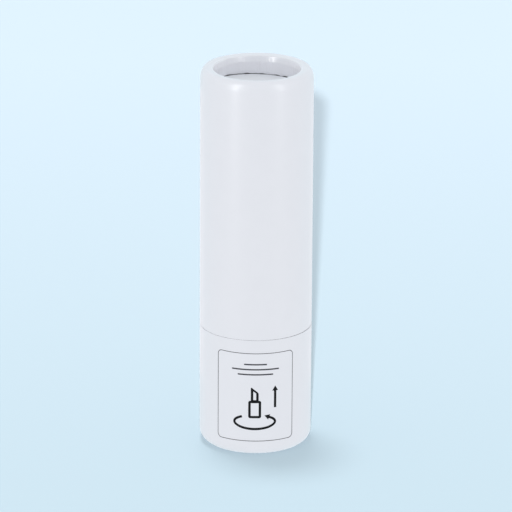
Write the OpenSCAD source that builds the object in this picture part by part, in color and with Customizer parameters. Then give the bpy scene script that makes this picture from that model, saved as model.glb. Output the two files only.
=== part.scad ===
// Twist-up lip balm stick in a paperboard tube. Millimetres, Z up, foot of the base at Z = 0.
// The base is held, the neck turns in it, and a two-start helical cam in the neck lifts the cup.

/* [Outside] */
// Outer diameter of the base and the cap
tube_d = 20; // [19:0.25:24]
// Height of the closed stick
stick_h = 69.6; // [66:0.2:80]
// Height of the seam between base and cap
seam_z = 21.9; // [20.5:0.1:24]
// Gap between base and cap that shows as the seam
seam_gap = 0.15; // [0.1:0.05:0.3]

/* [Tube wall] */
// Thickness of the laminated wrapping paper
paper_t = 0.2; // [0.12:0.02:0.24]
// Thickness of the wound greyboard tube
board_t = 1.75; // [1.5:0.05:1.9]
// Width of the flat ring that is left on a rolled edge
edge_flat = 0.15; // [0.1:0.05:0.3]

/* [Card plugs] */
// Depth of the top plug's face below the rim
top_recess = 3.5; // [2:0.1:4]
// Depth of the bottom plug's face above the foot
foot_recess = 1; // [0.6:0.1:1.4]
// Thickness of the drawn card
card_t = 0.5; // [0.3:0.05:0.6]
// Height of the top plug, with its skirt
top_plug_h = 4; // [3:0.2:5]
// Height of the bottom plug, with its skirt
foot_plug_h = 3; // [2:0.2:3]

/* [Mechanism] */
// How far the balm rises
travel = 22; // [16:0.5:22]
// Turns of the neck that raise the balm all the way
turns = 1.5; // [1.25:0.25:2]
// Height of the neck's top lip
neck_top = 44; // [43.5:0.1:45]
// Radius of the lugs that run in the slots and grooves
lug_r = 0.75; // [0.6:0.05:0.8]
// Radial clearance of every running fit
run_fit = 0.05; // [0.04:0.01:0.08]

/* [Moulded walls] */
// Wall of the cap's liner
liner_t = 0.35; // [0.3:0.05:0.4]
// Height of the liner's grip ribs
grip_h = 0.15; // [0.1:0.05:0.2]
// Number of grip ribs
grips = 12; // [6:2:16]
// Wall of the neck shell
neck_t = 0.45; // [0.4:0.05:0.5]
// Wall of the spiral cam
cam_t = 0.6; // [0.5:0.05:0.7]
// Wall of the slotted sleeve
sleeve_t = 0.45; // [0.4:0.05:0.5]
// Wall of the carrier cup
cup_t = 0.4; // [0.35:0.05:0.5]

/* [Balm] */
// Height of the balm's tip with the balm down
tip_z = 43; // [40:0.2:43]
// Slant of the tip's face, from level
tip_slant = 32; // [20:1:45]
// Radius of the rounded edge round the tip
tip_edge = 2.2; // [1:0.2:3]

/* [Hidden] */

$fn = 96;
small_fn = 32;
// How far a cutter runs past the wall that it cuts
past = 1;

// Radii, from the outside in
outer_r = tube_d / 2;
board_out_r = outer_r - paper_t;
board_in_r = board_out_r - board_t;
throat_r = board_in_r - paper_t;
liner_in_r = board_in_r - liner_t;
grip_r = liner_in_r - grip_h;
neck_r = grip_r - run_fit;
neck_in_r = neck_r - neck_t;
cam_in_r = neck_in_r - cam_t;
sleeve_r = cam_in_r - run_fit;
sleeve_in_r = sleeve_r - sleeve_t;
cup_r = sleeve_in_r - run_fit;
cup_in_r = cup_r - cup_t;
balm_gap = 0.2;
balm_r = cup_r - balm_gap;
// Play of what is cast or glued in place
cast_gap = 0.01;
glue_gap = 0.02;

// Rolled edges of the wrapped tubes
in_edge_board = 0.05;
in_edge = paper_t + in_edge_board;
out_edge = outer_r - throat_r - edge_flat - in_edge;
board_out_edge = out_edge - paper_t;
base_top = seam_z - seam_gap / 2;
cap_mouth = seam_z + seam_gap / 2;

// Card plugs
plug_r = throat_r - glue_gap;
plug_edge = 0.6;
plug_in_edge = 0.2;
top_turn_in = top_recess + top_plug_h;
foot_turn_in = foot_recess + foot_plug_h;

// Collar in the base
insert_rise = 0.2;
insert_z = foot_turn_in + insert_rise;
insert_floor = 1.2;
insert_sunk = 0.45;
insert_top = base_top - insert_sunk;
insert_lead = 0.2;
gate_r = 2.5;

// Foot of the slotted sleeve, and the boss that centres the neck
foot_z = insert_z + insert_floor;
foot_flange_h = 1.8;
foot_floor = 1;
boss_fit = 0.07;
boss_r = neck_in_r - boss_fit;
boss_z = foot_z + foot_flange_h;
boss_h = 4.2;
neck_play = 0.2;
neck_z = boss_z + neck_play;

// Snap bead that holds the neck down in the insert
bead_h = 0.8;
bead_out = 0.25;
bead_up = 0.9;
bead_z = neck_z + bead_up;
bead_play = 0.1;
slits = 4;
slit_w = 0.6;
slit_h = bead_up + bead_h + 0.2;

// Friction ring in its groove on the boss
ring_r = 0.27;
ring_fit = 0.02;
ring_mid_r = neck_in_r - ring_fit - ring_r;
ring_up = 2.8;
ring_z = boss_z + ring_up;
ring_groove_h = 0.7;
ring_groove_r = ring_mid_r - ring_r - cast_gap;

// Cam, cup and lugs
lip_t = 0.5;
lip_back = 0.05;
lip_r = sleeve_in_r + lip_back;
lip_edge = 0.35;
cam_up = 0.4;
cam_z = boss_z + boss_h + cam_up;
cam_top = neck_top - lip_t;
sleeve_drop = 0.2;
sleeve_top = cam_top - sleeve_drop;
cup_up = 1.4;
cup_z = cam_z + cup_up;
cup_h = 8;
cup_floor = 0.8;
vent_r = 1;
cup_ribs = 4;
cup_rib_t = 0.4;
cup_rib_in = 0.5;
cup_rib_h = cup_h - 1.5;
lug_up = 1;
lug_z = cup_z + lug_up;
lug_root_r = cup_in_r + 0.1;
lug_end_r = neck_in_r - 0.1;
slot_w = 2 * (lug_r + run_fit);
lead = travel / turns;

// Helical groove, as wide square to its own path as the lug with its play
groove_play = 0.1;
groove_w = 2 * (lug_r + groove_play);
pocket_play = 0.05;
groove_steps = ceil(30 * turns);
groove_near = cam_in_r - past;
groove_far = neck_in_r + past;
groove_pitch = atan(lead / (PI * (cam_in_r + neck_in_r)));

// Liner in the cap
liner_sunk = 0.35;
liner_z = cap_mouth + liner_sunk;
liner_top = neck_top - 4;
liner_lead = 0.2;
grip_w = 0.8;
grip_inset = 1;

// Upright wall, as a section on one side of the axis
module wall(in_r, out_r, low, high) {
    translate([in_r, low]) square([out_r - in_r, high - low]);
}

// What an arc of radius r leaves out of a corner at the origin; side is 1 inside, -1 outside
module corner(r, side) {
    difference() {
        translate([side > 0 ? -past : -r, -r]) square([r + past, r + past]);
        translate([side * r, -r]) circle(r = r, $fn = small_fn);
    }
}

// Wall section whose top end is rolled, with an arc at each side
module rolled_wall(in_r, out_r, low, high, in_arc, out_arc) {
    difference() {
        wall(in_r, out_r, low, high);
        translate([in_r, high]) corner(in_arc, 1);
        translate([out_r, high]) corner(out_arc, -1);
    }
}

// Section of a wound board tube, of height h, rolled at the top
module board_section(h) {
    rolled_wall(board_in_r, board_out_r, 0, h - paper_t, in_edge_board, board_out_edge);
}

// Section of the paper round that board, turned in over the rolled edge to a given depth
module paper_section(h, turn_in) {
    difference() {
        rolled_wall(throat_r, outer_r, 0, h, in_edge, out_edge);
        board_section(h);
        wall(throat_r - past, board_in_r, -past, h - turn_in);
        wall(throat_r - past, board_out_r, -past, 0);
    }
}

// Drawn card plug of height h, face up at the top, with a skirt below
module plug(h) {
    rotate_extrude() {
        difference() {
            wall(0, plug_r, 0, h);
            translate([plug_r, h]) corner(plug_edge, -1);
            difference() {
                wall(-past, plug_r - card_t, -past, h - card_t);
                translate([plug_r - card_t, h - card_t]) corner(plug_in_edge, -1);
            }
        }
    }
}

module base_core_tube() {
    color("tan")
    translate([0, 0, base_top])
    mirror([0, 0, 1])
    rotate_extrude() board_section(base_top);
}

module base_wrap_paper() {
    color("white")
    translate([0, 0, base_top])
    mirror([0, 0, 1])
    rotate_extrude() paper_section(base_top, foot_turn_in);
}

module base_bottom_disc() {
    color("whitesmoke")
    translate([0, 0, foot_recess + foot_plug_h])
    mirror([0, 0, 1])
    plug(foot_plug_h);
}

// Moulded collar in the base; its bore guides the neck and its groove holds the neck's bead
module base_insert() {
    color("gainsboro")
    rotate_extrude() {
        difference() {
            wall(gate_r, board_in_r - glue_gap, insert_z, insert_top);
            wall(0, neck_r + run_fit, foot_z, insert_top + past);
            wall(0, neck_r + bead_out + run_fit, bead_z - bead_play, bead_z + bead_h + bead_play);
            translate([neck_r + run_fit, insert_top]) corner(insert_lead, 1);
        }
    }
}

// Two tines that guide the lugs straight up, on a foot with a ring groove
module slotted_sleeve() {
    color("lightgrey")
    difference() {
        rotate_extrude() {
            difference() {
                union() {
                    wall(0, neck_r, foot_z, boss_z);
                    wall(0, boss_r, foot_z, boss_z + boss_h);
                    wall(0, sleeve_r, foot_z, sleeve_top);
                }
                wall(-past, sleeve_in_r, foot_z + foot_floor, sleeve_top + past);
                wall(ring_groove_r, neck_r, ring_z - ring_groove_h / 2, ring_z + ring_groove_h / 2);
                translate([sleeve_r, sleeve_top]) corner(sleeve_t / 2, -1);
            }
        }
        for (side = [0, 180]) {
            rotate([0, 0, side]) lug_slot();
        }
    }
}

// Open-topped slot with a round lower end, along +X
module lug_slot() {
    translate([0, 0, lug_z]) rotate([0, 90, 0]) cylinder(h = outer_r, r = slot_w / 2);
    translate([0, -slot_w / 2, lug_z]) cube([outer_r, slot_w, stick_h]);
}

module friction_ring() {
    color("dimgray")
    translate([0, 0, ring_z])
    rotate_extrude() translate([ring_mid_r, 0]) circle(r = ring_r, $fn = small_fn);
}

// Outer neck, with a turned-in lip over the cam and a split snap bead near its lower end
module neck_shell() {
    color("white")
    difference() {
        rotate_extrude() {
            difference() {
                union() {
                    rolled_wall(lip_r, neck_r, neck_z, neck_top, lip_edge / 2, lip_edge);
                    wall(neck_in_r, neck_r + bead_out, bead_z, bead_z + bead_h);
                }
                wall(0, neck_in_r, neck_z - past, cam_top);
            }
        }
        for (i = [0 : slits - 1]) {
            rotate([0, 0, (i + 0.5) * 360 / slits])
            translate([0, -slit_w / 2, neck_z - past])
            cube([outer_r, slit_w, slit_h + past]);
        }
    }
}

// Four corners of the groove's cross-section, a given share of the way up the helix
function groove_ring(share) =
    let (
        turn = -360 * turns * share,
        up = lug_z + travel * share,
        lean = groove_w / 2 * sin(groove_pitch) / (cam_in_r + neck_in_r) * 360 / PI,
        rise = groove_w / 2 * cos(groove_pitch)
    )
    [
        for (corner = [[groove_near, -1], [groove_far, -1], [groove_far, 1], [groove_near, 1]])
            let (r = corner[0], side = corner[1], a = turn + side * lean)
                [r * cos(a), r * sin(a), up + side * rise]
    ];

// Cutter for one helical groove: a band swept up the helix, with a round pocket at each stop
module groove() {
    rings = [for (i = [0 : groove_steps]) each groove_ring(i / groove_steps)];
    last = 4 * groove_steps;
    sides = [
        for (i = [0 : groove_steps - 1], k = [0 : 3])
            let (a = 4 * i + k, b = 4 * i + (k + 1) % 4)
                each [[a, b + 4, b], [a, a + 4, b + 4]]
    ];
    ends = [[0, 1, 2], [0, 2, 3], [last, last + 2, last + 1], [last, last + 3, last + 2]];
    polyhedron(points = rings, faces = concat(sides, ends));
    for (share = [0, 1]) {
        translate([0, 0, lug_z + travel * share])
        rotate([0, 90, -360 * turns * share])
        translate([0, 0, cam_in_r - past / 2])
        cylinder(h = cam_t + past, r = groove_w / 2 + pocket_play);
    }
}

// Sleeve fixed in the neck, cut right through by two helical grooves
module spiral_cam() {
    color("lightsteelblue")
    difference() {
        rotate_extrude() wall(cam_in_r, neck_in_r - glue_gap, cam_z, cam_top);
        for (side = [0, 180]) {
            rotate([0, 0, side]) groove();
        }
    }
}

// Ribs inside the cup that keep the balm from turning or pulling out
module cup_rib_set(gap) {
    for (i = [0 : cup_ribs - 1]) {
        rotate([0, 0, (i + 0.5) * 360 / cup_ribs])
        translate([cup_in_r - cup_rib_in, -cup_rib_t / 2 - gap, cup_z])
        cube([cup_rib_in + cup_t / 2, cup_rib_t + 2 * gap, cup_rib_h + gap]);
    }
}

// Cup that carries the balm, with two lugs that reach into the grooves
module carrier_cup() {
    color("ivory") {
        rotate_extrude() {
            difference() {
                wall(0, cup_r, cup_z, cup_z + cup_h);
                wall(-past, cup_in_r, cup_z + cup_floor, cup_z + cup_h + past);
                wall(-past, vent_r, cup_z - past, cup_z + cup_floor + past);
                translate([cup_r, cup_z + cup_h]) corner(cup_t / 2, -1);
            }
        }
        cup_rib_set(0);
        for (side = [0, 180]) {
            rotate([0, 0, side])
            translate([lug_root_r, 0, lug_z])
            rotate([0, 90, 0])
            cylinder(h = lug_end_r - lug_root_r, r = lug_r);
        }
    }
}

// Moulded balm: it fills the cup, stands out over the cup's edge and ends in a slanted face
module balm() {
    color("lemonchiffon")
    difference() {
        rotate_extrude() {
            difference() {
                union() {
                    wall(0, cup_in_r, cup_z + cup_floor, cup_z + cup_h);
                    wall(0, balm_r, cup_z + cup_h, tip_z);
                }
                translate([balm_r, tip_z]) corner(tip_edge, -1);
            }
        }
        cup_rib_set(cast_gap);
        translate([tip_edge - balm_r, 0, tip_z])
        rotate([0, tip_slant, 0])
        translate([-outer_r, -outer_r, 0])
        cube([3 * outer_r, 2 * outer_r, outer_r]);
    }
}

module cap_core_tube() {
    color("tan")
    translate([0, 0, cap_mouth])
    rotate_extrude() board_section(stick_h - cap_mouth);
}

module cap_wrap_paper() {
    color("white")
    translate([0, 0, cap_mouth])
    rotate_extrude() paper_section(stick_h - cap_mouth, top_turn_in);
}

module cap_top_disc() {
    color("whitesmoke")
    translate([0, 0, stick_h - top_recess - top_plug_h])
    plug(top_plug_h);
}

// Sleeve in the cap's mouth, with upright ribs that grip the neck and a lead-in below
module cap_liner() {
    color("gainsboro") {
        rotate_extrude() {
            difference() {
                wall(liner_in_r, board_in_r - glue_gap, liner_z, liner_top);
                polygon([
                    [liner_in_r - past, liner_z - past],
                    [liner_in_r + liner_lead + past, liner_z - past],
                    [liner_in_r - past, liner_z + liner_lead + past]
                ]);
            }
        }
        for (i = [0 : grips - 1]) {
            rotate([0, 0, i * 360 / grips])
            translate([grip_r, -grip_w / 2, liner_z + grip_inset])
            cube([grip_h + liner_t / 2, grip_w, liner_top - liner_z - 2 * grip_inset]);
        }
    }
}

base_core_tube();
base_wrap_paper();
base_bottom_disc();
base_insert();
slotted_sleeve();
friction_ring();
neck_shell();
spiral_cam();
carrier_cup();
balm();
cap_core_tube();
cap_wrap_paper();
cap_top_disc();
cap_liner();
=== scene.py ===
from math import atan2, cos, pi, radians, sin, sqrt, tan
from random import Random

import bmesh
import bpy
from mathutils import Matrix, Vector, noise


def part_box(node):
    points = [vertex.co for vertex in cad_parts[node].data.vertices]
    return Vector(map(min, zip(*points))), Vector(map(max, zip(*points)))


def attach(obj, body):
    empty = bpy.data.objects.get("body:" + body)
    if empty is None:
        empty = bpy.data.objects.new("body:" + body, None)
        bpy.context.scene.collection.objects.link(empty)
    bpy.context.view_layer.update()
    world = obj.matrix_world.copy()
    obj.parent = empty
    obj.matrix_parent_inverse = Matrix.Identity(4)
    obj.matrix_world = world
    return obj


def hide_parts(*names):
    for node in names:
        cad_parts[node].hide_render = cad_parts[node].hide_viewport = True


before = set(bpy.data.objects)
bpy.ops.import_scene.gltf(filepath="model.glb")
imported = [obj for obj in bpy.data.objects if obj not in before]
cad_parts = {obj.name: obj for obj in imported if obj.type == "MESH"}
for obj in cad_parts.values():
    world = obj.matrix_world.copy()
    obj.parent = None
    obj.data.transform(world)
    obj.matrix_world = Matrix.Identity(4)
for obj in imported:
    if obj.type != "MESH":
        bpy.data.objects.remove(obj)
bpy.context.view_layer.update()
MM = 0.001

# Camera: a long lens at the photograph's height above the table, turned a hair anticlockwise.
# Its values come from the ellipses of the rim, the seam and the foot.
VIEW_DOWN = radians(18.72)
VIEW_ROLL = radians(-0.32)
CAMERA_AWAY = 815 * MM
AIM = Vector((-0.016 * MM, 0, 34.407 * MM))
FOCAL_FRAMES = 4575 / 512

ahead = Vector((0, cos(VIEW_DOWN), -sin(VIEW_DOWN)))
across = Vector((1, 0, 0))
upward = Vector((0, sin(VIEW_DOWN), cos(VIEW_DOWN)))
frame_right = across * cos(VIEW_ROLL) - upward * sin(VIEW_ROLL)
frame_up = across * sin(VIEW_ROLL) + upward * cos(VIEW_ROLL)
camera_data = bpy.data.cameras.new("camera")
camera_data.lens = camera_data.sensor_width * FOCAL_FRAMES
camera_data.clip_start = 10 * MM
camera = bpy.data.objects.new("camera", camera_data)
camera.matrix_world = (
    Matrix.Translation(AIM - ahead * CAMERA_AWAY)
    @ Matrix((frame_right, frame_up, -ahead)).transposed().to_4x4()
)
bpy.context.scene.collection.objects.link(camera)
bpy.context.scene.camera = camera
bpy.context.scene.view_settings.view_transform = "Standard"

# Table: a light table of pale blue acrylic, a little deeper in tone towards the camera. To the
# object it glows an even white. In view it keeps its blue and takes the stick's shadow, and what
# is mirrored of it is its blue alone.
FLOOR_HALF = 3.0
FLOOR_NEAR = "9AABB4"
FLOOR_FAR = "A6B4BE"
SKY = "E2F6FF"
FADE_FROM = -45 * MM
FADE_TO = 240 * MM
TABLE_GLOW = 0.955
TABLE_MIRRORED = "E2F7FF"


def colour(text):
    """An sRGB hex value as a linear colour."""
    parts = [int(text[i:i + 2], 16) / 255 for i in (0, 2, 4)]
    return [c / 12.92 if c <= 0.04045 else ((c + 0.055) / 1.055) ** 2.4 for c in parts] + [1]


def add(tree, kind, inputs=None, **settings):
    """Adds a shader node with its settings; an input is a value or another node's output."""
    node = tree.nodes.new(kind)
    for name, value in settings.items():
        setattr(node, name, value)
    for socket, value in (inputs or {}).items():
        if isinstance(value, bpy.types.NodeSocket):
            tree.links.new(value, node.inputs[socket])
        else:
            node.inputs[socket].default_value = value
    return node


def material(name):
    """A new material with an empty tree and its output node."""
    made = bpy.data.materials.new(name)
    made.use_nodes = True
    made.node_tree.nodes.clear()
    return made, made.node_tree, made.node_tree.nodes.new("ShaderNodeOutputMaterial")


def in_view(tree):
    """1 on rays that show the backdrop, straight or through a reflection or a clear piece."""
    path = add(tree, "ShaderNodeLightPath")
    seen = path.outputs["Is Camera Ray"]
    for ray in ("Is Glossy Ray", "Is Transmission Ray"):
        seen = add(tree, "ShaderNodeMath", {0: seen, 1: path.outputs[ray]}, operation="MAXIMUM").outputs[0]
    return seen


def light_table():
    """Frosted acrylic lit from below: no gloss and no grain, just an even pale tone."""
    made, tree, out = material("light_table_acrylic")
    place = add(tree, "ShaderNodeTexCoord")
    parts = add(tree, "ShaderNodeSeparateXYZ", {0: place.outputs["Object"]})
    share = add(tree, "ShaderNodeMapRange", {0: parts.outputs["Y"], 1: FADE_FROM, 2: FADE_TO})
    tint = add(
        tree, "ShaderNodeMix", {"Factor": share.outputs[0], 6: colour(FLOOR_NEAR), 7: colour(FLOOR_FAR)},
        data_type="RGBA",
    )
    shader = add(tree, "ShaderNodeBsdfDiffuse", {"Color": tint.outputs[2]})
    mirrored = add(tree, "ShaderNodeLightPath").outputs["Is Glossy Ray"]
    hue = add(
        tree, "ShaderNodeMix", {"Factor": mirrored, 6: colour("FFFFFF"), 7: colour(TABLE_MIRRORED)},
        data_type="RGBA",
    )
    glow = add(tree, "ShaderNodeEmission", {"Color": hue.outputs[2], "Strength": TABLE_GLOW})
    shown = add(tree, "ShaderNodeMath", {0: in_view(tree), 1: mirrored}, operation="SUBTRACT")
    mixed = add(
        tree, "ShaderNodeMixShader", {0: shown.outputs[0], 1: glow.outputs[0], 2: shader.outputs[0]},
    )
    tree.links.new(mixed.outputs[0], out.inputs[0])
    return made


floor_mesh = bpy.data.meshes.new("floor")
bm = bmesh.new()
bmesh.ops.create_grid(bm, x_segments=1, y_segments=1, size=FLOOR_HALF)
bm.to_mesh(floor_mesh)
bm.free()
floor = bpy.data.objects.new("floor", floor_mesh)
floor_mesh.materials.append(light_table())
bpy.context.scene.collection.objects.link(floor)

# Light: an even white room, a hair dimmer overhead and brighter at the left. Reflection cards
# stand round the table, out of sight, and two lights that reach the table alone draw the
# stick's shadow on it.
ROOM_LEVEL = 0.985
ROOM_OVERHEAD = 0.97
ROOM_LEFT = 0.025
CARDS = {
    "card_left": dict(azimuth=-43, away=220, height=115, size=(42, 230), glow=7.6),
    "card_right": dict(azimuth=47, away=220, height=115, size=(42, 230), glow=3.6),
    "card_rear_left": dict(azimuth=-150, away=40, height=27, size=(40, 54), glow=0.25, tint="FFB4A4"),
    "card_rear_right": dict(azimuth=150, away=40, height=27, size=(40, 54), glow=0.18, tint="FFB4A4"),
}
SHADOW_LIGHTS = {
    "light_above": dict(azimuth=205, elevation=81.5, softness=11, level=0.45),
    "light_front": dict(azimuth=-1.55, elevation=18.2, softness=0.8, level=0.57),
}

world = bpy.data.worlds.new("room")
world.use_nodes = True
world.node_tree.nodes.clear()
room = world.node_tree
aim = add(room, "ShaderNodeSeparateXYZ", {0: add(room, "ShaderNodeTexCoord").outputs["Generated"]})
height = add(room, "ShaderNodeMapRange", {0: aim.outputs["Z"], 3: ROOM_LEVEL, 4: ROOM_OVERHEAD})
level = add(
    room, "ShaderNodeMath", {0: aim.outputs["X"], 1: -ROOM_LEFT, 2: height.outputs[0]},
    operation="MULTIPLY_ADD",
)
seen = add(room, "ShaderNodeBackground", {"Color": colour(SKY), "Strength": 1.0})
lit = add(room, "ShaderNodeBackground", {"Color": colour("FFFFFF"), "Strength": level.outputs[0]})
mixed = add(room, "ShaderNodeMixShader", {0: in_view(room), 1: lit.outputs[0], 2: seen.outputs[0]})
add(room, "ShaderNodeOutputWorld", {0: mixed.outputs[0]})
bpy.context.scene.world = world


def panel(name, azimuth, away, height, size, glow, tint="FFFFFF"):
    """A soft panel round the stick, facing its middle; away is level, height above the table."""
    width, tall = (side * MM for side in size)
    lamp = bpy.data.lights.new(name, "AREA")
    lamp.shape = "RECTANGLE"
    lamp.size, lamp.size_y = width, tall
    lamp.energy = glow * pi * width * tall
    lamp.color = colour(tint)[:3]
    turn = radians(azimuth)
    place = Vector((sin(turn) * away, -cos(turn) * away, height)) * MM
    made = bpy.data.objects.new(name, lamp)
    facing = (place - AIM).to_track_quat("Z", "Y").to_matrix().to_4x4()
    made.matrix_world = Matrix.Translation(place) @ facing
    bpy.context.scene.collection.objects.link(made)
    return made


def table_light(name, azimuth, elevation, softness, level):
    """Parallel light from far off that lifts the table by a level where nothing shades it."""
    lamp = bpy.data.lights.new(name, "SUN")
    lamp.angle = radians(softness)
    turn, rise = radians(azimuth), radians(elevation)
    lamp.energy = level * pi / sin(rise)
    made = bpy.data.objects.new(name, lamp)
    source = Vector((sin(turn) * cos(rise), -cos(turn) * cos(rise), sin(rise)))
    made.matrix_world = source.to_track_quat("Z", "Y").to_matrix().to_4x4()
    bpy.context.scene.collection.objects.link(made)
    return made


for name, card in CARDS.items():
    made = panel(name, **card)
    made.visible_diffuse = False
    made.visible_camera = False
table_only = bpy.data.collections.new("table_only")
table_only.objects.link(floor)
for name, light in SHADOW_LIGHTS.items():
    table_light(name, **light).light_linking.receiver_collection = table_only

# Base, wound board tube: greyboard strip wound in plies with white glue, cut to length and
# rolled in at the foot. Raw board is a dull mid grey and quite matt, flecked with lighter
# fibres, and the cut end shows its plies.
BOARD_OUT = 9.8 * MM
BOARD_IN = 8.05 * MM
PLY = 0.35 * MM
PLY_NICK = 0.03 * MM
PAPER_SPACE = 0.2 * MM
BOARD_STEPS = 180

# The rolled edge, outside of the paper: an outer round, a flat that falls inwards, a small round
# at its brink, and a flare down to the throat.
TUBE_OUT = 10 * MM
THROAT = 7.5 * MM
FOOT_ROLL = dict(outer=(2.1 * MM, 2.1 * MM), fall=0, flare=(0.1 * MM, 0.6 * MM))
BRINK_ROUND = 0.2 * MM
BRINK_TURN = 165
FLARE_BEND = 1.15
ROLL_STEPS = 16
FLAT_STEPS = 4
BRINK_STEPS = 5
FLARE_STEPS = 12

# Fibres of the pulp are finer than this: they are drawn as coarse as they need to show.
BOARD_TONE = ("747272", "8E8C8B")
FIBRE = 0.5 * MM
FUZZ = 0.15 * MM
FUZZ_HIGH = 0.03 * MM


def arc(centre, radii, start, end, steps):
    """Points on an ellipse about a centre, from one angle to another in degrees."""
    turns = [radians(start + (end - start) * i / steps) for i in range(steps + 1)]
    return [(centre[0] + radii[0] * cos(t), centre[1] + radii[1] * sin(t)) for t in turns]


def lathe(outline, steps, closed=True):
    """Spins an outline of (radius, height) points once round the axis."""
    bm = bmesh.new()
    verts = [bm.verts.new((r, 0, z)) for r, z in outline]
    pairs = list(zip(verts, verts[1:])) + ([(verts[-1], verts[0])] if closed else [])
    edges = [bm.edges.new(pair) for pair in pairs]
    bmesh.ops.spin(
        bm, geom=verts + edges, cent=(0, 0, 0), axis=(0, 0, 1), dvec=(0, 0, 0),
        angle=2 * pi, steps=steps, use_merge=True,
    )
    bmesh.ops.remove_doubles(bm, verts=bm.verts[:], dist=0.0005 * MM)
    bmesh.ops.recalc_face_normals(bm, faces=bm.faces[:])
    return bm


def piece(name, bm, finish, body, slot, *nodes, crease=35):
    """Makes the mesh an object that rides on a body in place of CAD nodes, smooth but for its creases."""
    for face in bm.faces:
        face.smooth = True
    for edge in bm.edges:
        edge.smooth = len(edge.link_faces) == 2 and edge.calc_face_angle() < radians(crease)
    mesh = bpy.data.meshes.new(name)
    bm.to_mesh(mesh)
    bm.free()
    mesh.materials.append(finish)
    made = bpy.data.objects.new(name, mesh)
    bpy.context.scene.collection.objects.link(made)
    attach(made, body)
    if nodes:
        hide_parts(*nodes)
    return made


def speckle(tree, scale, detail=4, roughness=0.55):
    """Noise on object coordinates, with features of about the given size in metres."""
    place = add(tree, "ShaderNodeTexCoord")
    return add(
        tree, "ShaderNodeTexNoise",
        {"Vector": place.outputs["Object"], "Scale": 1 / scale, "Detail": detail, "Roughness": roughness},
    )


def greyboard():
    """Raw recycled board: dull, with paler fibre flecks and a soft fuzz that kills every gloss."""
    made, tree, out = material("greyboard")
    fibres = speckle(tree, FIBRE)
    tone = add(
        tree, "ShaderNodeMix",
        {"Factor": fibres.outputs[0], 6: colour(BOARD_TONE[0]), 7: colour(BOARD_TONE[1])}, data_type="RGBA",
    )
    fuzz = speckle(tree, FUZZ)
    bump = add(tree, "ShaderNodeBump", {"Height": fuzz.outputs[0], "Distance": FUZZ_HIGH})
    shader = add(
        tree, "ShaderNodeBsdfPrincipled",
        {"Base Color": tone.outputs[2], "Roughness": 0.95, "Normal": bump.outputs[0]},
    )
    tree.links.new(shader.outputs[0], out.inputs[0])
    return made


def rolled_edge(outer, fall, flare):
    """Section of a rolled edge, over the crown to the throat: (radius, depth, normal out, normal up)."""
    crown, brink = TUBE_OUT - outer[0], THROAT + flare[0]
    line = arc((crown, -outer[1]), outer, 0, 90, ROLL_STEPS)
    flat = brink + BRINK_ROUND - crown
    line += [(crown + flat * i / FLAT_STEPS, -fall * i / FLAT_STEPS) for i in range(1, FLAT_STEPS)]
    middle = (brink + BRINK_ROUND, -fall - BRINK_ROUND)
    line += arc(middle, (BRINK_ROUND, BRINK_ROUND), 90, BRINK_TURN, BRINK_STEPS)
    start = line[-1][1]
    for i in range(1, FLARE_STEPS + 1):
        spread = flare[0] * (1 - i / FLARE_STEPS) ** FLARE_BEND
        line.append((THROAT + spread, start - flare[1] * i / FLARE_STEPS))
    section = []
    for i, (radius, height) in enumerate(line):
        way = (Vector(line[min(i + 1, len(line) - 1)]) - Vector(line[max(i - 1, 0)])).normalized()
        section.append((radius, -height, way.y, -way.x))
    return section


def board_outline(cut, rim, roll):
    """Section of a board tube from its cut end to its rolled end, with nicks between the plies."""
    way = 1 if rim > cut else -1
    plies = round((BOARD_OUT - BOARD_IN) / PLY)
    ply = (BOARD_OUT - BOARD_IN) / plies
    end = []
    for i in range(plies + 1):
        r = BOARD_IN + i * ply
        if 0 < i < plies:
            end += [(r - PLY_NICK, cut), (r, cut + way * PLY_NICK), (r + PLY_NICK, cut)]
        else:
            end += [(r, cut)]
    under_paper = [
        (max(radius - out * PAPER_SPACE, BOARD_IN), rim - way * (depth + up * PAPER_SPACE))
        for radius, depth, out, up in rolled_edge(**roll)
    ]
    return end + under_paper


SEAM_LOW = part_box("base_core_tube")[1].z
board = greyboard()
piece(
    "base_board_tube", lathe(board_outline(SEAM_LOW, 0, FOOT_ROLL), BOARD_STEPS), board,
    "base", "greyboard", "base_core_tube",
)

# Base, wrapping paper: white art paper with a gloss film, rolled round the tube and glued with
# a narrow lap at the back. It is drawn over the rolled foot and pleats where it turns in, and
# its mouth edge stands a little proud of the board to close up the seam.
PAPER = 0.16 * MM
GLUE = 0.005 * MM
AROUND = 640
ROW_STEP = 2.2 * MM
LAP = 4 * MM
LAP_RAMP = 0.9 * MM
LAP_PRESSED = 0.9
LAP_AT = radians(160)
BOARD_WAVE = 0.012 * MM
BOARD_WAVE_ROUND = 2.5

# The mouth edge, eased in at its corner and lifted unevenly, and the ragged end of the flap.
PROUD_BASE = 0.12 * MM
EDGE_IN = 0.02 * MM
MOUTH_STEPS = (0, 2, 4, 8)
LIFT_LEFT = 0.2
LIFT_RAGGED = 0.2
RAGGED_ROUND = 6
FLAP_RAGGED = 0.14 * MM
FLAP_ROWS = 12

# The pleats: their size and its spread, where their crest lies, how much of their height they
# have at the crown and at the flap's end, and the puckers along them.
PLEAT = 0.52 * MM
PLEAT_WIDTHS = (0.55, 1.6)
PLEAT_HEIGHTS = (0.15, 1)
PLEAT_RISE = 0.04 * MM
PLEAT_CREST = 0.35
PLEAT_START = 0.12
PLEAT_END = 0.4
PUCKER = 0.7 * MM
PUCKER_ROUND = 8
PUCKER_SHARE = 0.8

# The film's outside, and inside of FOLD_R the turned-in flap, where it is drawn taut. On the flap a faint
# warm tint is painted, to offset the cool shade inside the rim.
PAPER_TONE = ("E4E6ED", "E7E9F0")
FLAP_PAINTED_WARMTH = (1.01, 1.0, 0.99)
FOLD_R = (8.05 * MM, 7.8 * MM)
FILM_CLOUD = 3 * MM
FILM_SKIN = 0.35 * MM
FILM_SKIN_HIGH = 0.004 * MM
FILM_ROUGHNESS = (0.5, 0.16)


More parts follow.
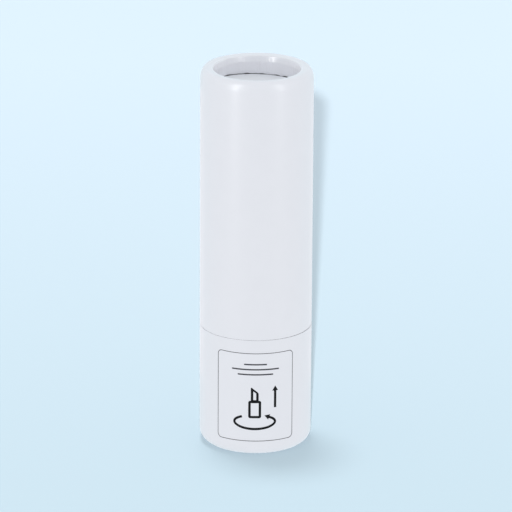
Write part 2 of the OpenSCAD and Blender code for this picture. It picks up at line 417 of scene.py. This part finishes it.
def laminated_paper():
    """Gloss film on art paper: wide soft glints outside, and tight ones where it is drawn in taut."""
    made, tree, out = material("gloss_laminated_paper")
    cloud = speckle(tree, FILM_CLOUD)
    tone = add(
        tree, "ShaderNodeMix",
        {"Factor": cloud.outputs[0], 6: colour(PAPER_TONE[0]), 7: colour(PAPER_TONE[1])}, data_type="RGBA",
    )
    place = add(tree, "ShaderNodeTexCoord")
    level_place = add(
        tree, "ShaderNodeVectorMath", {0: place.outputs["Object"], 1: (1, 1, 0)}, operation="MULTIPLY",
    )
    from_axis = add(tree, "ShaderNodeVectorMath", {0: level_place.outputs[0]}, operation="LENGTH")
    turned_in = add(tree, "ShaderNodeMapRange", {0: from_axis.outputs["Value"], 1: FOLD_R[0], 2: FOLD_R[1]})
    gloss = add(
        tree, "ShaderNodeMapRange", {0: turned_in.outputs[0], 3: FILM_ROUGHNESS[0], 4: FILM_ROUGHNESS[1]},
    )
    # Painted light: the flap's colour is tinted a hair warmer, against the cool shade inside the rim.
    painted_warmth = add(
        tree, "ShaderNodeMix", {"Factor": turned_in.outputs[0], 4: (1, 1, 1), 5: FLAP_PAINTED_WARMTH},
        data_type="VECTOR",
    )
    shade = add(
        tree, "ShaderNodeVectorMath", {0: tone.outputs[2], 1: painted_warmth.outputs[1]}, operation="MULTIPLY",
    )
    skin = speckle(tree, FILM_SKIN, detail=3)
    bump = add(
        tree, "ShaderNodeBump", {"Height": skin.outputs[0], "Distance": FILM_SKIN_HIGH, "Strength": 0.6},
    )
    shader = add(
        tree, "ShaderNodeBsdfPrincipled",
        {
            "Base Color": shade.outputs[0], "Roughness": gloss.outputs[0], "IOR": 1.45,
            "Normal": bump.outputs[0], "Coat Weight": 0.85, "Coat Roughness": 0.28, "Coat IOR": 1.5,
        },
    )
    tree.links.new(shader.outputs[0], out.inputs[0])
    return made


def wrap_rows(mouth, rim, turn_in, roll):
    """Rows of the sheet: (radius, height, normal out, normal up, share of the pleats), mouth first."""
    way = 1 if rim > mouth else -1
    edge = rolled_edge(**roll)
    shoulder = rim - way * edge[0][1]
    straight = round(abs(shoulder - mouth) / ROW_STEP)
    rows = [(TUBE_OUT, mouth + way * step * EDGE_IN, 1, 0, 0) for step in MOUTH_STEPS]
    rows += [(TUBE_OUT, mouth + (shoulder - mouth) * i / straight, 1, 0, 0) for i in range(1, straight)]
    past_crown = len(edge) - 1 - ROLL_STEPS
    for i, (radius, depth, out, up) in enumerate(edge):
        if i <= ROLL_STEPS:
            share = PLEAT_START * (i / ROLL_STEPS) ** 2
        else:
            share = PLEAT_START + (1 - PLEAT_START) * (i - ROLL_STEPS) / past_crown
        rows.append((radius, rim - way * depth, out, way * up, share))
    flap_from = edge[-1][1]
    for i in range(1, FLAP_ROWS + 1):
        down = flap_from + (turn_in - flap_from) * i / FLAP_ROWS
        rows.append((THROAT, rim - way * down, -1, 0, 1 - (1 - PLEAT_END) * i / FLAP_ROWS))
    return rows


def pleats(seed):
    """Uneven pleats round the tube: (angle, half width, height) of each."""
    draw = Random(seed)
    found, turn = [], 0
    while turn < 2 * pi:
        width = PLEAT / THROAT * draw.uniform(*PLEAT_WIDTHS)
        found.append((turn + width / 2, width / 2, draw.uniform(*PLEAT_HEIGHTS) ** 1.5))
        turn += width
    return found


def pleat_height(folds, turn):
    """Height of the pleats at an angle, from 0 to 1: each rises slowly and falls off at its edge."""
    turn %= 2 * pi
    for middle, half, rise in folds:
        across_fold = (turn - middle) / half
        if abs(across_fold) <= 1:
            past_crest = across_fold - PLEAT_CREST
            reach = 1 + PLEAT_CREST if past_crest < 0 else 1 - PLEAT_CREST
            return rise * (0.5 + 0.5 * cos(pi * past_crest / reach))
    return 0


def board_wave(turn, height, seed):
    """How far the slightly uneven board lifts the paper."""
    spot = Vector((cos(turn), sin(turn), height / TUBE_OUT))
    return BOARD_WAVE * noise.noise(spot * BOARD_WAVE_ROUND + Vector((seed, 0, 0)))


def wrap(mouth, rim, turn_in, roll, seed, lift=0, lean=0, warp=0):
    """A flat blank rolled round the tube and over its rim; the lap lies over the sheet's own start.

    The mouth rises by lift at the right and a little at the left, and the flap's end follows the
    plug below it, which leans and warps a little.
    """
    rows = wrap_rows(mouth, rim, turn_in, roll)
    folds = pleats(seed)
    way = 1 if rim > mouth else -1
    sweep = 2 * pi + LAP / TUBE_OUT
    bm = bmesh.new()
    bmesh.ops.create_grid(bm, x_segments=AROUND, y_segments=len(rows) - 1, size=0.5)
    for vert in bm.verts:
        share = vert.co.x + 0.5
        row = round((vert.co.y + 0.5) * (len(rows) - 1))
        radius, height, out, up, gather = rows[row]
        turn = LAP_AT - sweep * share
        past_start = (sweep * share - 2 * pi) * TUBE_OUT + LAP_RAMP
        ramp = min(max(past_start / LAP_RAMP, 0), 1)
        rise = (PAPER + GLUE) * ramp * ramp * (3 - 2 * ramp) * (1 - LAP_PRESSED * abs(up))
        spot = Vector((PUCKER_ROUND * cos(turn), PUCKER_ROUND * sin(turn), height / PUCKER))
        pucker = 1 + PUCKER_SHARE * noise.noise(spot)
        rise += gather * PLEAT_RISE * pleat_height(folds, turn) * pucker
        rise += (1 - gather) * board_wave(turn, height, seed)
        ragged = noise.noise(Vector((cos(turn), sin(turn), seed)) * RAGGED_ROUND)
        if row < len(MOUTH_STEPS):
            side = 1 if cos(turn) > 0 else LIFT_LEFT
            height += lift * (cos(turn) ** 2 * side + LIFT_RAGGED * ragged)
        if row == 0:
            rise -= EDGE_IN
        in_flap = max(0, row - len(rows) + 1 + FLAP_ROWS) / FLAP_ROWS
        along_plug = warp * cos(turn) ** 2 - lean * radius * cos(turn)
        height += in_flap * (way * FLAP_RAGGED * ragged + along_plug)
        radius += out * rise
        vert.co = (radius * cos(turn), radius * sin(turn), height + up * rise)
    bmesh.ops.recalc_face_normals(bm, faces=bm.faces[:])
    outermost = max(bm.faces, key=lambda face: face.calc_center_median().xy.length)
    if outermost.normal.xy.dot(outermost.calc_center_median().xy) < 0:
        bmesh.ops.reverse_faces(bm, faces=bm.faces[:])
    bmesh.ops.solidify(bm, geom=bm.faces[:], thickness=PAPER)
    return bm


gloss_paper = laminated_paper()
BASE_SEED = 11
FOOT_TURN_IN = 4 * MM
piece(
    "base_wrapping", wrap(SEAM_LOW + PROUD_BASE, 0, FOOT_TURN_IN, FOOT_ROLL, BASE_SEED), gloss_paper,
    "base", "laminated_paper", "base_wrap_paper", crease=50,
)

# Base, print: one black ink, solid and as a grey tint, offset on the flat sheet before it is
# laminated. A thin frame holds three short rules and a pictogram of how the stick is turned up.
INK_LIFT = 0.012 * MM
INK_FILM = 0.006 * MM
BEND_STEP = 0.4 * MM

# The artwork as a flat drawing, (across, up) from the middle of the front at the foot.
FRAME_LOW = (-7.28 * MM, 2.9 * MM)
FRAME_HIGH = (7.2 * MM, 19.55 * MM)
FRAME_CORNER = 0.85 * MM
FRAME_LINE = 0.11 * MM
RULE = 0.26 * MM
RULES = ((17.3 * MM, 4.1 * MM), (16.35 * MM, 8.6 * MM), (15.4 * MM, 6.4 * MM))
INK_LINE = 0.44 * MM
TURN_CENTRE = (-0.1 * MM, 6.55 * MM)
TURN_RADII = (3.7 * MM, 1.3 * MM)
TURN_SWEEP = (128, 405)
TURN_STEPS = 48
HEAD = 0.62 * MM
CASE_LOW = (-1.25 * MM, 7.3 * MM)
CASE_HIGH = (1.05 * MM, 10.6 * MM)
CASE_CORNER = 0.35 * MM
TIP_LOW = (-0.8 * MM, 10.3 * MM)
TIP_HIGH = (0.6 * MM, 13.2 * MM)
TIP_CORNER = 0.25 * MM
TIP_FALL = 0.8
LIFT_AT = 3.6 * MM
LIFT_FROM = 9.2 * MM
LIFT_TO = 12.4 * MM
INK_TONE = "0E0E11"
TINT_TONE = "47474E"

# The lay of real ink is several times finer: it is drawn as coarse as it needs to show.
INK_GRAIN = 0.2 * MM


def ink(name, tone):
    """Offset ink: flat and nearly matt, with a faint uneven lay."""
    made, tree, out = material(name)
    grain = speckle(tree, INK_GRAIN)
    lay = add(tree, "ShaderNodeMapRange", {0: grain.outputs[0], 1: 0.3, 2: 0.7, 3: 0.9, 4: 1.12})
    shade = add(
        tree, "ShaderNodeVectorMath", {0: colour(tone)[:3], "Scale": lay.outputs[0]}, operation="SCALE",
    )
    shader = add(
        tree, "ShaderNodeBsdfPrincipled",
        {"Base Color": shade.outputs[0], "Roughness": 0.6, "IOR": 1.45, "Specular IOR Level": 0.2},
    )
    tree.links.new(shader.outputs[0], out.inputs[0])
    return made


def tablet(bm, low, high, corner, line=0):
    """A flat tablet with round corners between two (across, up) points; with a line it is hollow."""
    old = set(bm.faces)
    verts = bmesh.ops.create_grid(bm, x_segments=1, y_segments=1, size=0.5)["verts"]
    bmesh.ops.scale(bm, vec=(high[0] - low[0], high[1] - low[1], 1), verts=verts)
    bmesh.ops.translate(bm, vec=((low[0] + high[0]) / 2, (low[1] + high[1]) / 2, 0), verts=verts)
    bmesh.ops.bevel(bm, geom=verts, offset=corner, segments=8, profile=0.5, affect="VERTICES", material=-1)
    made = [face for face in bm.faces if face not in old]
    if line:
        bmesh.ops.inset_region(bm, faces=made, thickness=line, use_even_offset=True, use_boundary=True)
        bmesh.ops.delete(bm, geom=made, context="FACES")
    return [vert for vert in bm.verts if not old.intersection(vert.link_faces)]


def stroke(bm, points, width):
    """A flat line of even width through (across, up) points."""
    count = len(points) - 1
    for vert in bmesh.ops.create_grid(bm, x_segments=count, y_segments=1, size=0.5)["verts"]:
        i = round((vert.co.x + 0.5) * count)
        ahead_of = Vector(points[min(i + 1, count)]) - Vector(points[max(i - 1, 0)])
        side = Vector((-ahead_of.y, ahead_of.x)).normalized() * width * vert.co.y
        vert.co = (points[i][0] + side.x, points[i][1] + side.y, 0)


def arrow(bm, points, width):
    """A stroke that ends in a solid head."""
    stroke(bm, points, width)
    end = Vector(points[-1])
    way = (end - Vector(points[-2])).normalized()
    head = bmesh.ops.create_circle(bm, cap_ends=True, segments=3, radius=HEAD)["verts"]
    turn = Matrix.Rotation(atan2(way.y, way.x) - pi / 2, 3, "Z")
    bmesh.ops.rotate(bm, cent=(0, 0, 0), matrix=turn, verts=head)
    bmesh.ops.translate(bm, vec=(*(end + way * HEAD / 2), 0), verts=head)


def printed(name, bm, finish):
    """Bends a flat print onto the paper round the base, its middle at the front."""
    reach = round(max(abs(vert.co.x) for vert in bm.verts) / BEND_STEP)
    for i in range(-reach, reach + 1):
        sheet = bm.verts[:] + bm.edges[:] + bm.faces[:]
        bmesh.ops.bisect_plane(bm, geom=sheet, plane_co=(i * BEND_STEP, 0, 0), plane_no=(1, 0, 0))
    for vert in bm.verts:
        turn = vert.co.x / TUBE_OUT - pi / 2
        height = vert.co.y
        radius = TUBE_OUT + INK_LIFT + board_wave(turn, height, BASE_SEED)
        vert.co = (radius * cos(turn), radius * sin(turn), height)
    bm.normal_update()
    inward = [face for face in bm.faces if face.normal.xy.dot(face.calc_center_median().xy) < 0]
    bmesh.ops.reverse_faces(bm, faces=inward)
    bmesh.ops.solidify(bm, geom=bm.faces[:], thickness=INK_FILM)
    piece(name, bm, finish, "base", "laminated_paper")


black_print = bmesh.new()
tablet(black_print, CASE_LOW, CASE_HIGH, CASE_CORNER, INK_LINE)
for vert in tablet(black_print, TIP_LOW, TIP_HIGH, TIP_CORNER, INK_LINE):
    if vert.co.y > (TIP_LOW[1] + TIP_HIGH[1]) / 2:
        vert.co.y -= TIP_FALL * (vert.co.x - TIP_LOW[0])
arrow(black_print, arc(TURN_CENTRE, TURN_RADII, *TURN_SWEEP, TURN_STEPS), INK_LINE)
arrow(black_print, [(LIFT_AT, LIFT_FROM), (LIFT_AT, LIFT_TO)], INK_LINE)
printed("base_print_solid", black_print, ink("black_ink_under_film", INK_TONE))

grey_print = bmesh.new()
tablet(grey_print, FRAME_LOW, FRAME_HIGH, FRAME_CORNER, FRAME_LINE)
for height, length in RULES:
    tablet(grey_print, (-length / 2, height), (length / 2, height + RULE), RULE / 3)
printed("base_print_tint", grey_print, ink("grey_ink_under_film", TINT_TONE))

# Base, bottom plug: a disc drawn from white-lined card, pressed into the foot white side down.
# The card keeps faint rings from the drawing, and below its shoulder its skirt is painted dark grey:
# painted shade for the gap round it.
CARD = 0.5 * MM
CARD_SHOULDER = 0.15 * MM
CARD_FACE_R = 7.36 * MM
FOOT_SKIRT_R = 7.8 * MM
FOOT_PLUG = 2.9 * MM
CARD_STEPS = 300
FACE_STEPS = 22
SHOULDER_STEPS = 8
SKIRT_STEPS = 4

# What the drawing leaves: an edge pulled in unevenly, and a dished face with rings and buckles.
DRAWN_FROM = 0.9
DRAWN_IN = 0.05
DRAWN_NOTCH = 0.12
DRAWN_DOWN = 1.5 * MM
DISH = 0.06 * MM
RING = 0.012 * MM
RING_STEP = 1.1 * MM
BUCKLE = 0.02 * MM

# The card's white face, and the painted shade on its skirt: dark grey comes in between two depths below the
# face, for the shadow in the gap round the plug.
CARD_TONE = ("DCDFE5", "E2E5EA")
PAINTED_GAP_SHADE = "4A4A50"
GAP_SHADE_DEPTH = (0.08 * MM, 0.15 * MM)
CARD_CLOUD = 1.2 * MM
CARD_GRAIN = 0.3 * MM
CARD_GRAIN_HIGH = 0.01 * MM


def white_card(face_z, way, tilt=0, warp=0):
    """White-lined card: a satin white face; below the shoulder the skirt is painted dark grey, as painted
    shade for the gap round the plug.
    """
    made, tree, out = material("white_lined_card")
    place = add(tree, "ShaderNodeTexCoord")
    parts = add(tree, "ShaderNodeSeparateXYZ", {0: place.outputs["Object"]})
    across_face = parts.outputs["X"]
    square = add(tree, "ShaderNodeMath", {0: across_face, 1: across_face}, operation="MULTIPLY")
    height = parts.outputs["Z"]
    for reach, slope in ((across_face, tan(tilt)), (square.outputs[0], -warp / CARD_FACE_R ** 2)):
        levelled = add(
            tree, "ShaderNodeMath", {0: reach, 1: slope, 2: height}, operation="MULTIPLY_ADD",
        )
        height = levelled.outputs[0]
    cloud = speckle(tree, CARD_CLOUD)
    tone = add(
        tree, "ShaderNodeMix",
        {"Factor": cloud.outputs[0], 6: colour(CARD_TONE[0]), 7: colour(CARD_TONE[1])}, data_type="RGBA",
    )
    # Painted shade: below the face the skirt turns dark grey, for the shadow in the gap round the plug.
    gap_shade = add(
        tree, "ShaderNodeMapRange",
        {0: height, 1: face_z - way * GAP_SHADE_DEPTH[0], 2: face_z - way * GAP_SHADE_DEPTH[1]},
    )
    mixed = add(
        tree, "ShaderNodeMix",
        {"Factor": gap_shade.outputs[0], 6: tone.outputs[2], 7: colour(PAINTED_GAP_SHADE)}, data_type="RGBA",
    )
    grain = speckle(tree, CARD_GRAIN)
    bump = add(tree, "ShaderNodeBump", {"Height": grain.outputs[0], "Distance": CARD_GRAIN_HIGH})
    shader = add(
        tree, "ShaderNodeBsdfPrincipled",
        {"Base Color": mixed.outputs[2], "Roughness": 0.5, "Normal": bump.outputs[0]},
    )
    tree.links.new(shader.outputs[0], out.inputs[0])
    return made


def card_plug(face_z, way, depth, skirt_r, seed):
    """A drawn plug with its face towards way (1 up, -1 down) and a skirt of the given depth."""
    face = [(CARD_FACE_R * i / FACE_STEPS, 0) for i in range(FACE_STEPS - 1)]
    middle = (CARD_FACE_R - CARD_SHOULDER, -CARD_SHOULDER)
    bend = arc(middle, (CARD_SHOULDER, CARD_SHOULDER), 90, 0, SHOULDER_STEPS)
    skirt = []
    for i in range(1, SKIRT_STEPS + 1):
        radius = CARD_FACE_R + (skirt_r - CARD_FACE_R) * i / SKIRT_STEPS
        skirt.append((radius, -CARD_SHOULDER - (depth - CARD_SHOULDER) * i / SKIRT_STEPS))
    bm = lathe(face + bend + skirt, CARD_STEPS, closed=False)
    for vert in bm.verts:
        radius = vert.co.xy.length
        spot = Vector((vert.co.x, vert.co.y, seed * MM)) / MM
        drawn = max(0, radius / CARD_FACE_R - DRAWN_FROM) / (1 - DRAWN_FROM)
        if drawn and vert.co.z > -DRAWN_DOWN:
            notch = DRAWN_NOTCH * max(0, noise.noise(spot * 1.3))
            pull = (DRAWN_IN * noise.noise(spot * 0.55) - notch) * MM
            vert.co.xy *= 1 + pull * min(1, drawn) * drawn / radius
        if vert.co.z > -CARD_SHOULDER:
            ring = RING * cos(radius / RING_STEP * 2 * pi) + BUCKLE * noise.noise(spot * 0.3)
            vert.co.z += ring - DISH * (1 - (radius / CARD_FACE_R) ** 2)
    if max(bm.faces, key=lambda f: f.calc_center_median().z).normal.z < 0:
        bmesh.ops.reverse_faces(bm, faces=bm.faces[:])
    bmesh.ops.solidify(bm, geom=bm.faces[:], thickness=CARD)
    if way < 0:
        bmesh.ops.scale(bm, vec=(1, 1, -1), verts=bm.verts[:])
        bmesh.ops.reverse_faces(bm, faces=bm.faces[:])
    bmesh.ops.translate(bm, vec=(0, 0, face_z), verts=bm.verts[:])
    return bm


foot_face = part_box("base_bottom_disc")[0].z
piece(
    "base_bottom_plug", card_plug(foot_face, -1, FOOT_PLUG, FOOT_SKIRT_R, 5), white_card(foot_face, -1),
    "base", "white_card", "base_bottom_disc",
)

# Base, collar: white polypropylene, injection moulded and glued into the board tube. Its bore
# guides the neck, and the groove near its floor holds the neck's snap bead.
MOULD_TONE = ("E4E3DE", "E8E7E3")
FLOW_CLOUD = 2.5 * MM

# The tool's spark pits are about a quarter of this: they are drawn as coarse as they need to show.
SPARK = 0.12 * MM
SPARK_DEEP = 0.004 * MM


def moulded(name, tones, roughness, depth=SPARK_DEEP, flow=1, **more):
    """Injection-moulded plastic: faint flow clouds, and the fine grain that the tool leaves."""
    made, tree, out = material(name)
    place = add(tree, "ShaderNodeTexCoord")
    drawn = add(tree, "ShaderNodeMapping", {0: place.outputs["Object"], "Scale": (1, 1, flow)})
    cloud = add(
        tree, "ShaderNodeTexNoise", {"Vector": drawn.outputs[0], "Scale": 1 / FLOW_CLOUD, "Detail": 3},
    )
    tone = add(
        tree, "ShaderNodeMix",
        {"Factor": cloud.outputs[0], 6: colour(tones[0]), 7: colour(tones[1])}, data_type="RGBA",
    )
    grain = add(tree, "ShaderNodeTexNoise", {"Vector": drawn.outputs[0], "Scale": 1 / SPARK, "Detail": 3})
    bump = add(tree, "ShaderNodeBump", {"Height": grain.outputs[0], "Distance": depth})
    shader = add(
        tree, "ShaderNodeBsdfPrincipled",
        {"Base Color": tone.outputs[2], "Roughness": roughness, "Normal": bump.outputs[0], **more},
    )
    tree.links.new(shader.outputs[0], out.inputs[0])
    return made


def dress(node, finish):
    """Gives a CAD node that shows as it is its finish."""
    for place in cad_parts[node].material_slots:
        place.material = finish


# Spark-eroded white polypropylene: an even satin that hides small marks.
white_pp = moulded("white_polypropylene", MOULD_TONE, 0.45, **{"IOR": 1.49})
dress("base_insert", white_pp)

# Mechanism, slotted sleeve: moulded of the same white polypropylene as the collar and welded to
# its floor. Two tall tines with slots between them keep the lugs of the cup from turning.
dress("slotted_sleeve", white_pp)

# Mechanism, friction ring: a moulded rubber ring in the groove round the sleeve's foot, greased
# on assembly. It gives the neck its even drag. The grease puts a wet shine on the black rubber.
dress("friction_ring", moulded(
    "greased_nitrile_rubber", ("2E2E31", "38383B"), 0.6,
    **{"IOR": 1.52, "Coat Weight": 0.6, "Coat Roughness": 0.12},
))

# Mechanism, spiral cam: acetal, moulded with two helical grooves and pressed into the neck. The
# plain slippery plastic, creamy with a waxy gloss, lets the lugs run without grease.
dress("spiral_cam", moulded("natural_acetal", ("DAD9D0", "E0DFD7"), 0.32, **{"IOR": 1.48}))

# Mechanism, neck: the smooth white tube that the cap slides over, with a lip turned in over the
# cam. It is polished in the tool and shows faint upright lines from being drawn off its core.
dress("neck_shell", moulded(
    "polished_white_polypropylene", ("E9E9EA", "ECECED"), 0.24,
    depth=0.003 * MM, flow=0.05, **{"IOR": 1.49},
))

# Mechanism, cup: moulded of unpigmented polypropylene, with two lugs at its foot. Without pigment
# the plastic is a little milky, and light sinks into it at thin edges.
dress("carrier_cup", moulded(
    "natural_polypropylene", ("DEDBD0", "E4E1D7"), 0.38,
    **{"IOR": 1.49, "Subsurface Weight": 0.3, "Subsurface Radius": (0.6, 0.5, 0.4), "Subsurface Scale": MM},
))

# Balm: beeswax and oils cast in a mould with the cup at its foot. It has a slanted face, a soft
# edge, a faint line at each side where the mould's halves met, and a dull bloom.
BALM_STEPS = 256
CAST_R = 5.5 * MM
BALM_R = 5.7 * MM
TIP_ROUND = 2.2 * MM
TIP_TOP = 43 * MM
TIP_SLANT = radians(32)
TIP_EDGE = 0.45 * MM
TIP_BLEND = 0.25 * MM
PARTING = 0.03 * MM
PARTING_HALF = 0.05 * MM
WALL_STEPS = 12
EDGE_STEPS = 8
TIP_STEPS = 24

# The wax: clouds in its tone, the bloom and the pits on its skin, and how far light sinks in.
BALM_TONE = ("EAD9AE", "F1E3BF")
WAX_CLOUD = 2 * MM
WAX_BLOOM = 0.8 * MM
WAX_PIT = 0.25 * MM
WAX_PIT_DEEP = 0.012 * MM
WAX_DEEP = 1.2 * MM


def cast_wax():
    """Beeswax balm: light sinks in a little way, and fine pits break up a satin sheen."""
    made, tree, out = material("beeswax_balm")
    cloud = speckle(tree, WAX_CLOUD)
    tone = add(
        tree, "ShaderNodeMix",
        {"Factor": cloud.outputs[0], 6: colour(BALM_TONE[0]), 7: colour(BALM_TONE[1])}, data_type="RGBA",
    )
    bloom = speckle(tree, WAX_BLOOM)
    sheen = add(tree, "ShaderNodeMapRange", {0: bloom.outputs[0], 1: 0.3, 2: 0.7, 3: 0.34, 4: 0.5})
    pits = speckle(tree, WAX_PIT)
    bump = add(tree, "ShaderNodeBump", {"Height": pits.outputs[0], "Distance": WAX_PIT_DEEP})
    shader = add(
        tree, "ShaderNodeBsdfPrincipled",
        {
            "Base Color": tone.outputs[2], "Roughness": sheen.outputs[0], "IOR": 1.44,
            "Subsurface Weight": 0.5, "Subsurface Radius": (1, 0.7, 0.35), "Subsurface Scale": WAX_DEEP,
            "Normal": bump.outputs[0],
        },
    )
    tree.links.new(shader.outputs[0], out.inputs[0])
    return made


def tip_height(x, radius):
    """Height of the mould at a point: its round end or its slanted face, whichever is lower."""
    flat = BALM_R - TIP_ROUND
    beyond = min(max(0, radius - flat), TIP_ROUND)
    dome = TIP_TOP - TIP_ROUND + sqrt(TIP_ROUND ** 2 - beyond ** 2)
    slant = TIP_TOP - tan(TIP_SLANT) * (x + flat)
    return (dome + slant - sqrt((dome - slant) ** 2 + TIP_BLEND ** 2)) / 2


def cast_balm():
    """The filled mould, spun flat-topped and then pressed to the shape of the mould's end."""
    cup_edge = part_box("carrier_cup")[1].z
    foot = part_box("balm")[0].z
    in_cup = [(0, foot), (CAST_R, foot), (CAST_R, cup_edge)]
    tall = TIP_TOP - TIP_EDGE - cup_edge
    wall = [(BALM_R, cup_edge + tall * i / WALL_STEPS) for i in range(WALL_STEPS)]
    edge = arc((BALM_R - TIP_EDGE, TIP_TOP - TIP_EDGE), (TIP_EDGE, TIP_EDGE), 0, 90, EDGE_STEPS)
    face = [((BALM_R - TIP_EDGE) * (1 - i / TIP_STEPS), TIP_TOP) for i in range(1, TIP_STEPS + 1)]
    bm = lathe(in_cup + wall + edge + face, BALM_STEPS, closed=False)
    for vert in bm.verts:
        radius = vert.co.xy.length
        share = max(0, (vert.co.z - cup_edge) / (TIP_TOP - cup_edge))
        vert.co.z += share * (tip_height(vert.co.x, radius) - TIP_TOP)
        if radius > BALM_R - PARTING / 3 and abs(vert.co.x) < PARTING_HALF:
            vert.co.xy *= 1 + PARTING / radius
    bmesh.ops.recalc_face_normals(bm, faces=bm.faces[:])
    return bm


piece("cast_balm", cast_balm(), cast_wax(), "carrier", "balm", "balm")

# Cap, wound board tube: the same greyboard as the base, cut square at the mouth and rolled in at
# the rim. The roll is low and wide, and it has settled a little below its full height.
RIM_ROLL = dict(outer=(1.15 * MM, 1.85 * MM), fall=0.18 * MM, flare=(0.2 * MM, 0.9 * MM))
RIM_SETTLED = 0.1 * MM
SEAM_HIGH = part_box("cap_core_tube")[0].z
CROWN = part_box("cap_wrap_paper")[1].z - RIM_SETTLED
piece(
    "cap_board_tube", lathe(board_outline(SEAM_HIGH, CROWN, RIM_ROLL), BOARD_STEPS), board,
    "cap", "greyboard", "cap_core_tube",
)

# Cap, wrapping paper: the same laminated paper as on the base. Its lower edge is not quite level,
# so the seam is a hair wider at the right than at the front and the left. Inside, its flap ends
# just above the plug, which sits a little askew and has warped.
TOP_SETTLED = 0.03 * MM
TOP_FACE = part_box("cap_top_disc")[1].z - TOP_SETTLED
TOP_TILT = radians(1.4)
TOP_WARP = 0.3 * MM
FLAP_ABOVE = 0.03 * MM
RIM_TURN_IN = CROWN - TOP_FACE - FLAP_ABOVE
SEAM_LIFT = 0.07 * MM
CAP_SEED = 7
cap_paper = wrap(
    SEAM_HIGH, CROWN, RIM_TURN_IN, RIM_ROLL, CAP_SEED, lift=SEAM_LIFT, lean=tan(TOP_TILT), warp=TOP_WARP,
)
piece(
    "cap_wrapping", cap_paper, gloss_paper,
    "cap", "laminated_paper", "cap_wrap_paper", crease=50,
)

# Cap, top plug: white-lined card, drawn like the bottom one and pressed in below the rim with its white
# side up. A thin dark line shows round it: the real shadow of the gap to the paper's flap, deepened by
# painted shade on its skirt.
TOP_PLUG = 3.7 * MM
TOP_SKIRT_R = 7.95 * MM
top_plug = card_plug(TOP_FACE, 1, TOP_PLUG, TOP_SKIRT_R, 2)
for vert in top_plug.verts:
    vert.co.z += TOP_WARP * (vert.co.x / CARD_FACE_R) ** 2
bmesh.ops.rotate(
    top_plug, cent=(0, 0, TOP_FACE), matrix=Matrix.Rotation(TOP_TILT, 3, "Y"), verts=top_plug.verts[:],
)
piece(
    "cap_top_plug", top_plug, white_card(TOP_FACE, 1, TOP_TILT, TOP_WARP),
    "cap", "white_card", "cap_top_disc",
)

# Cap, liner: a thin sleeve moulded of the collar's white polypropylene and glued into the mouth.
# The upright ribs inside it hold on the neck.
dress("cap_liner", white_pp)
